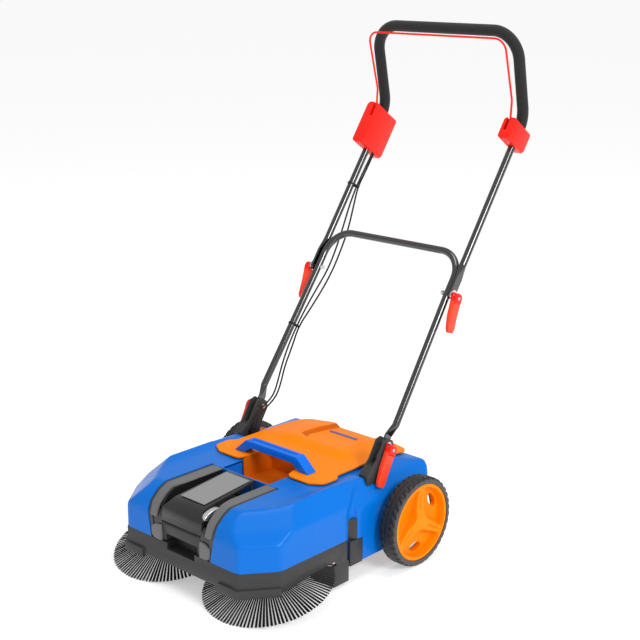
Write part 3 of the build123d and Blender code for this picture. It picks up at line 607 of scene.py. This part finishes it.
# ---- side brushes ----
BRUSH_R = 134
TUFTS, FILAMENTS = 108, 6
FILAMENT_FAN = math.radians(0.32)
UNEVEN_TURN, UNEVEN_REACH = 0.003, 2.2
FILAMENT_ROOT = Vector((47, 0, 25.0))
FILAMENT_BEND = Vector((92, 0, 15.6))
TIP_Z, LOWEST_Z = 0.9, 0.8
ROOT_HALF, TIP_HALF = 1.15, 0.75
SEEDS = {"left": 7, "right": 11}


def filament(bm, place, turn, fan, tip_r):
    """One bent filament with a square section, from the disc out to the floor."""
    start, middle, end = FILAMENT_ROOT * MM, FILAMENT_BEND * MM, Vector((tip_r, 0, TIP_Z)) * MM
    rings = []
    for t in (0, 0.34, 0.68, 1.0):
        point = start * (1 - t) ** 2 + middle * 2 * t * (1 - t) + end * t * t
        point.z = max(point.z, LOWEST_Z * MM)
        spin = Matrix.Rotation(turn + fan * (0.5 + 0.5 * t), 3, "Z")
        centre, sideways = spin @ point, spin @ Vector((0, 1, 0))
        half = (ROOT_HALF + (TIP_HALF - ROOT_HALF) * t) * MM
        rings.append([bm.verts.new(place @ (centre + sideways * a * half + Vector((0, 0, b * half))))
                      for a, b in ((-1, 0), (0, 1), (1, 0), (0, -1))])
    for a, b in zip(rings, rings[1:]):
        for j in range(4):
            bm.faces.new((a[j], a[(j + 1) % 4], b[(j + 1) % 4], b[j]))
    bm.faces.new(rings[0])
    bm.faces.new(list(reversed(rings[-1])))


def bristles(side):
    """Tufts of nylon that fan out from the disc, with the place of each filament slightly uneven."""
    rng = random.Random(SEEDS[side])
    centre = Vector(JOINTS["brush_" + side]["pos_m"])
    place = Matrix.Translation(centre) @ Matrix.Rotation(BRUSH_TILT, 4, "X")
    bm = bmesh.new()
    for turn in full_turn(TUFTS):
        for k in range(FILAMENTS):
            fan = FILAMENT_FAN * (k - (FILAMENTS - 1) / 2) + rng.uniform(-UNEVEN_TURN, UNEVEN_TURN)
            filament(bm, place, turn, fan, BRUSH_R - rng.uniform(0, UNEVEN_REACH))
    mesh = bpy.data.meshes.new("bristles")
    bm.to_mesh(mesh)
    bm.free()
    obj = new_object("bristles", mesh)
    fix_normals(obj)
    finish_piece(obj, "bristle_tufts_" + side, "bristle_nylon", ["bristles_" + side], angle=60)


for side in SIGNS:
    bristles(side)


# ---- hopper: lid, badge, carry handle, bin ----
LID_LINE = [(-187, 206), (-165, 208), (-20, 208), (60, 204), (115, 197)]
LID_THICK = 3
ARCH_Y = -140  # middle of the arched opening at the front of the lid
ARCH_RADII = (62, 43)
LIP = 3
BADGE_RISE, BADGE_SINK = 0.9, 0.6


def panel_edge(x, y):
    """Distance outside the rounded edge of the sunk panel."""
    return math.hypot(max(abs(x) - 28, 0), max(14 - y, 0)) - 30


def lid_height(x, y):
    """Top of the lid: raised shoulders round a sunk panel that is open to the rear."""
    plateau = 8.5 * ease(-58, -24, y) * (1 - ease(60, 146, abs(x)))
    panel = 8.0 * (1 - ease(-8, 9, panel_edge(x, y))) * (0.55 + 0.45 * ease(-10, 60, y))
    off_lip = abs(math.hypot(x / (ARCH_RADII[0] + LIP), (y - ARCH_Y) / (ARCH_RADII[1] + LIP)) - 1) * 50
    lip = 4.0 * (1 - ease(0.5, 6.5, off_lip)) * ease(-138, -118, y)
    return along(LID_LINE, y) + plateau - panel + lip


def hopper_lid():
    """Orange lid with its arched opening; the right wall of the sunk panel is painted a darker orange as painted
    shade.
    """
    lid = heightfield((-164, 164), (-187, 115), 2.0, lid_height,
                      lambda x, y: along(LID_LINE, y) - LID_THICK)
    plan = symmetric([(0, ARCH_Y), (62, ARCH_Y), (70, -186), (130, -186), (158, -170), (160, -132),
                      (147, -116), (147, 100), (135, 115), (0, 115)])
    boolean(lid, prism(rounded(plan, 16), 150, ABOVE), "INTERSECT")
    arch = arc((0, ARCH_Y), ARCH_RADII, 0, 180, 32) + [(-62, -160), (62, -160)]
    boolean(lid, prism(arch, 150, ABOVE), "DIFFERENCE")
    bevel(lid, 1.6, 3, 40)
    finish_piece(lid, "hopper_lid_moulded", "orange_plastic", ["hopper_lid"])
    # painted shade: faces on one wall of the sunk panel take the darker orange in place of the shade there
    lid.data.materials.append(MATERIALS["orange_painted_shade"])
    for polygon in lid.data.polygons:
        x, y = polygon.center.x / MM, polygon.center.y / MM
        if x < -20 and y > -8 and abs(panel_edge(x, y) + 0.5) < 6.5 and polygon.normal.z > 0.2:
            polygon.material_index = 1


def badge():
    """Plain strip that lies on the sunk panel."""
    strip = heightfield((-48, 48), (54, 84), 1.0, lambda x, y: lid_height(x, y) + BADGE_RISE,
                        lambda x, y: lid_height(x, y) - BADGE_SINK)
    outline = rounded([(-46, 76), (-42, 65), (38, 65), (34, 76)], 1)
    boolean(strip, prism(outline, 100, ABOVE), "INTERSECT")
    finish_piece(strip, "badge_strip", "badge_blue", [], body="hopper")


def carry_handle():
    """Blue arched handle with a shallow groove along its top."""
    arch = rounded([(-107, 208.3), (-74, 238), (74, 238), (107, 208.3), (80, 208.3), (61, 223), (-61, 223),
                    (-80, 208.3)], [1, 9, 9, 1, 1, 12, 12, 1])
    handle = prism(arch, -162, -137, "Y")
    bevel(handle, 4.0, 3, 40)
    groove = rounded([(-64, -155), (64, -155), (64, -145), (-64, -145)], 4)
    boolean(handle, prism(groove, 236.4, 250), "DIFFERENCE")
    finish_piece(handle, "carry_handle_moulded", "handle_blue", ["carry_handle"], angle=35)


hopper_lid()
badge()
carry_handle()
# painted shade: the bin under the lid is painted a darker orange for the shade in its pocket
softened("hopper_bin", 0.8, paint="orange_painted_shade")


# ---- battery cover and its latch ----
def battery_cover():
    """Black hump over the battery, hollow from below, with a rounded nose and sloped shoulders."""
    nose = arc((-377, 156.5), (33.5, 33.5), 96, 190, 14)
    side = [(-247, 204.3)] + nose + [(-412, 143), (-404, 141), (-398, 153), (-247, 153)]
    front = rounded(symmetric([(0, 130), (57.8, 130), (57.8, 171), (46, 184), (37, 207), (0, 207)]),
                    [0, 0, 7, 6, 5, 0, 0, 5, 6, 7, 0])
    inside = [(-244, 150), (-244, 200), (-395, 184), (-404, 155), (-404, 150)]
    cover = prism(side, -60, 60, "X")
    boolean(cover, prism(front, AHEAD, -240, "Y"), "INTERSECT")
    boolean(cover, prism(inside, -54, 54, "X"), "DIFFERENCE")
    bevel(cover, 2.0, 3, 30)
    finish_piece(cover, "battery_cover_moulded", "gloss_black", ["battery_cover"])


def latch_lens():
    """Silver latch: a lens-shaped bar on the shoulder of the cover, its front end a little lower."""
    tilt = math.radians(12)
    outline = [(-380 + a * math.cos(tilt) - b * math.sin(tilt),
                178.5 + a * math.sin(tilt) + b * math.cos(tilt)) for a, b in ellipse((0, 0), (23.5, 8.0), 40)]
    lens = prism(outline, 46, 60, "X")
    bevel(lens, 2.4, 3, 40)
    finish_piece(lens, "cover_latch_moulded", "silver_plastic", ["cover_latch"])


battery_cover()
latch_lens()

# ---- wheels ----
WHEEL_INNER_X = 228
WHEEL_PLACE = Matrix.Translation((WHEEL_INNER_X * MM, AXLE.y, AXLE.z))
WHEEL_PLACE = WHEEL_PLACE @ Matrix.Rotation(math.pi / 2, 4, "Y")
SPOKE_TURNS = [math.radians(60 + 120 * i) for i in range(3)]
RIM_RADII = [0.5, 6, 10, 13, *range(15, 18), *range(18, 34, 2), *range(34, 64, 3), *range(64, 72, 2),
             71.5, 72.5, 73.5, 74.5, 75.5, 76.5, 78, 80, 81, 82.2]
RIM_STEPS = 288
RIM_BACK, RIM_BACK_EDGE, RIM_DISH_R = 9.0, 1.0, 71
WINDOW_R, WINDOW_RADII = 60, (8.5, 19)
LUGS, STEPS_PER_LUG = 36, 12
TYRE_MIDDLE = 19  # across the tread, from the inner side
TYRE_PROFILE = [(82.4, 0.4), (89, 0.2), (92.5, 0.8), (94.6, 2.6), (95.5, 5), (95.7, 8), (95.8, 11.5),
                (95.4, 12.3), (95.4, 14), (95.9, 15), (95.9, 23), (95.4, 24), (95.4, 25.7), (95.8, 26.5),
                (95.7, 30), (95.5, 33), (94.6, 35.4), (92.5, 37.2), (89, 37.8), (82.4, 37.6)]


def onto_axle(piece, side):
    """Moves a piece from the middle to its axle; the right one is the mirror image of the left one."""
    piece.data.transform(Matrix.Diagonal((SIGNS[side], 1, 1, 1)) @ WHEEL_PLACE)
    if side == "right":
        piece.data.flip_normals()


def rim_face(radius, turn):
    """Height of the outer side of a rim: lip, dish, three grooved spokes and a three-sided hub."""
    away = min(abs((turn - t + math.pi) % (2 * math.pi) - math.pi) for t in SPOKE_TURNS)
    off = radius * math.sin(min(away, math.pi / 2))
    dish = 14 + 6 * ease(30, 71, radius) + 17 * ease(71.0, 76.0, radius)
    half = 13.5 - 4.5 * ease(20, 70, radius)
    spoke_top = 31.5 + 3.5 * ease(40, 76, radius)
    spoke = 1 - ease(half - 0.8, half + 1.8, off)
    height = dish + (spoke_top - dish) * spoke if radius < 77 else dish
    step = 1 - ease(half + 3.5, half + 5.5, off)
    height = max(height, dish + 5.0 * step * (1 - ease(70, 74, radius)))
    groove = (1 - ease(0.9, 2.2, off)) * ease(30, 34, radius) * (1 - ease(66, 70, radius))
    height -= 2.6 * groove
    hub = 25 + 5.5 * math.cos(3 * away)
    height = max(height, 14 + 19.5 * (1 - ease(hub - 0.8, hub + 2.0, radius)))
    height += 1.3 * (1 - ease(15.5, 17.5, radius + 2.0 * math.cos(3 * away)))
    return height - 1.2 * ease(80.5, 82.3, radius)


def rim(side):
    """Sculpted face over a flat back, with an elliptical window between each two spokes."""
    rows = []
    for turn in full_turn(RIM_STEPS):
        face = [spun(r, turn, rim_face(r, turn)) for r in RIM_RADII]
        back = [spun(r, turn, RIM_BACK if r < RIM_DISH_R else RIM_BACK_EDGE) for r in reversed(RIM_RADII)]
        rows.append(face + back)
    disc = ring_solid("disc", rows)
    for i in range(3):
        window = prism(ellipse((WINDOW_R, 0), WINDOW_RADII, 28), 0, 60)
        window.data.transform(Matrix.Rotation(math.radians(120 * i), 4, "Z"))
        boolean(disc, window, "DIFFERENCE")
    onto_axle(disc, side)
    finish_piece(disc, "rim_cast_" + side, "orange_plastic", ["rim_" + side, "hub_cap_" + side])


def tread_depth(r, w, place):
    """How far the tread is cut at a point of the profile; place counts lugs round the tyre."""
    off = w - TYRE_MIDDLE
    shift = 0.5 if off > 0 else 0.0
    phase = (place + shift + 0.35 * math.sin(off * 0.16)) % 1.0
    gap = 1 - ease(0.12, 0.24, abs(phase - 0.5))
    reach = ease(8, 14, abs(off)) if 2 < w < 36 else (0.55 if r > 92 else 0.0)
    notch = 1 - ease(0.0, 0.2, abs(place * 2 % 1.0 - 0.5))
    centre = 0.35 * (1 - ease(4, 7, abs(off))) * notch
    return 3.2 * gap * reach + 1.6 * centre


def tyre(side):
    """Tread with staggered lugs, and paler side walls."""
    rows = []
    for i, turn in enumerate(full_turn(LUGS * STEPS_PER_LUG)):
        rows.append([spun(r - tread_depth(r, w, i / STEPS_PER_LUG), turn, w) for r, w in TYRE_PROFILE])
    piece = ring_solid("tyre", rows)
    onto_axle(piece, side)
    finish_piece(piece, "tyre_moulded_" + side, "tyre_rubber", ["tyre_" + side], angle=45)
    piece.data.materials.append(MATERIALS["tyre_wall"])
    for polygon in piece.data.polygons:
        if abs(polygon.normal.x) > 0.8:
            polygon.material_index = 1


for side in SIGNS:
    rim(side)
    tyre(side)

# ---- switch cables ----
CABLE_R = 2.0
HALVES_MEET = 175  # the two pieces of each cable meet here, along the handle
SWITCH_CABLES = [
    [(-185.5, 651, -14), (-184, 600, -10), (-183.6, 560, -8), (-181, 510, -9), (-178, 455, -16),
     (-173, 400, -18), (-170, 350, -17), (-172, 300, -11), (-176.5, 250, -8), (-178.7, 200, -6.5),
     (-180, 150, -8), (-178, 105, -12), (-171, 65, -14), (-164.5, 33, -12), (-162, 4, 3), (-163, -16, 15),
     (-163.8, -37, 17), (-163.2, -57, 8)],
    [(-185.5, 651, -19), (-182.5, 600, -15), (-183.4, 560, -13), (-173, 510, -15), (-166, 455, -22),
     (-163, 400, -24), (-160, 350, -22), (-158, 300, -14), (-166, 250, -12), (-177.5, 200, -11.5),
     (-174, 150, -15), (-174, 105, -18), (-165, 65, -19), (-159, 33, -16), (-157.5, 4, -2), (-158, -16, 10),
     (-158.6, -36, 13), (-158, -55, 6)],
]


def on_handle(x, s, n):
    """Place x across, s up and n out of the plane of the handle."""
    return HANDLE @ Vector((x * MM, s * MM, n * MM))


def half_cable(name, route, way):
    """One cable on its smooth spline, cut square across the leg; way is 1 for the upper half."""
    obj = rope(name, [on_handle(*p) for p in route], CABLE_R * MM)
    cut = on_handle(0, HALVES_MEET, 0)
    normal = (HANDLE.to_3x3() @ Vector((0, 1, 0))) * way
    bm = bmesh.new()
    bm.from_mesh(obj.data)
    geometry = bm.verts[:] + bm.edges[:] + bm.faces[:]
    bmesh.ops.bisect_plane(bm, geom=geometry, plane_co=cut, plane_no=normal, clear_inner=True)
    bmesh.ops.holes_fill(bm, edges=[e for e in bm.edges if e.is_boundary])
    bm.to_mesh(obj.data)
    bm.free()
    obj.name = name
    obj.data.materials.append(MATERIALS["cable_jacket"])
    smooth_shade(obj, 60)
    return obj


for number, route in enumerate(SWITCH_CABLES, 1):
    upper = half_cable("switch_cable_%d_upper" % number, route, 1)
    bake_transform(upper)
    lower = half_cable("switch_cable_%d_lower" % number, route, -1)
    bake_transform(lower)
    for cable in (upper, lower):
        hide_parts("switch_cables")

hood()
bay_bands()
bpy.data.objects.remove(FORM)

# ---- CAD parts with softer edges ----
softened("floor_pan", 1.2)
softened("side_skirts", 1.0)
softened("battery_bay", 0.8)

# ---- clamp levers ----
LEVER_REACH = 2.0  # how far the tip of a lever stands off
HEAD_HALF, ARM_HALF = 11, 12  # half widths
PIN_HOLE_R = 2.8
SLOT_HALF = 4.2
LEVERS = {"base": ((-41, -77), 86), "mid": ((-28, -80), 80)}  # way down in (y, z), and length


def lever_head():
    """Boxed head, rounded about its pin so that it can turn, with a slot for the clamp bolt."""
    outline = rounded([(-5.4, -5.4), (1.6, -5.7), (6.8, -2.6), (9.3, 3.5), (9, 16), (5.5, 20), (-3.5, 18),
                       (-5.4, 4)], [4, 3, 2, 3, 3, 3, 3, 3])
    head = prism(outline, -HEAD_HALF, HEAD_HALF)
    boolean(head, block(-12, 4.5, -12, 9, -SLOT_HALF, SLOT_HALF), "DIFFERENCE")
    boolean(head, prism(ellipse((0, 0), (PIN_HOLE_R, PIN_HOLE_R), 24), -13, 13), "DIFFERENCE")
    return bevel(head, 1.6, 3, 40)


def lever_arm(length):
    """Arm that bows outwards to its tip, narrower where it ends."""
    bow = 0.55 * length
    line = rounded([(-3.6, 12), (-3.6, bow), (LEVER_REACH, length), (LEVER_REACH + 5.5, length), (6.6, bow),
                    (7.4, 12)], [1, 40, 2, 2, 40, 1], 8)
    plan = rounded([(10, -13), (10, 13), (length - 10, 13), (length + 1, 7), (length + 1, -7),
                    (length - 10, -13)], [0, 0, 12, 6, 6, 12])
    arm = boolean(prism(line, -ARM_HALF, ARM_HALF), prism(plan, -30, 30, "X"), "INTERSECT")
    return bevel(arm, 1.8, 3, 40)


def cam_lever(kind, side):
    """Red clamp lever on its pin: head, arm and a small steel screw, the arm lying down when closed."""
    down, length = LEVERS[kind]
    down = Vector((0, *down)).normalized()
    out = Vector((SIGNS[side], 0, 0))
    place = Matrix((out, down, out.cross(down))).transposed().to_4x4()
    place.translation = Vector(JOINTS["%s_cam_%s" % (kind, side)]["pos_m"])
    node = "%s_lever_%s" % (kind, side)
    pieces = ((lever_head(), "head", "red_plastic"), (lever_arm(length), "arm", "red_light"))
    for piece, suffix, paint in pieces:
        piece.data.transform(place)
        fix_normals(piece)
        finish_piece(piece, node + "_" + suffix, paint, [node])
    screw = lathe([(0.05, 0), (3.4, 0), (3.4, 1.2), (2.8, 2.0), (1.5, 2.0), (1.4, 1.2), (0.05, 1.2)], 32)
    seat = Matrix.Translation((8.4 * MM, 5.2 * MM, 0)) @ Matrix.Rotation(math.pi / 2, 4, "Y")
    screw.data.transform(place @ seat)
    fix_normals(screw)
    finish_piece(screw, node + "_bolt", "steel", [], body=BODY_OF[node])


for side in SIGNS:
    softened("handle_bracket_" + side, 1.2)
    cam_lever("base", side)
    cam_lever("mid", side)
softened("switch_box", 0.9)
softened("switch_box_cover", 1.6)
softened("bail_pivot_block", 1.6)
frame["nodes"]["cover_plate"].data.materials[0] = MATERIALS["plate_grey"]
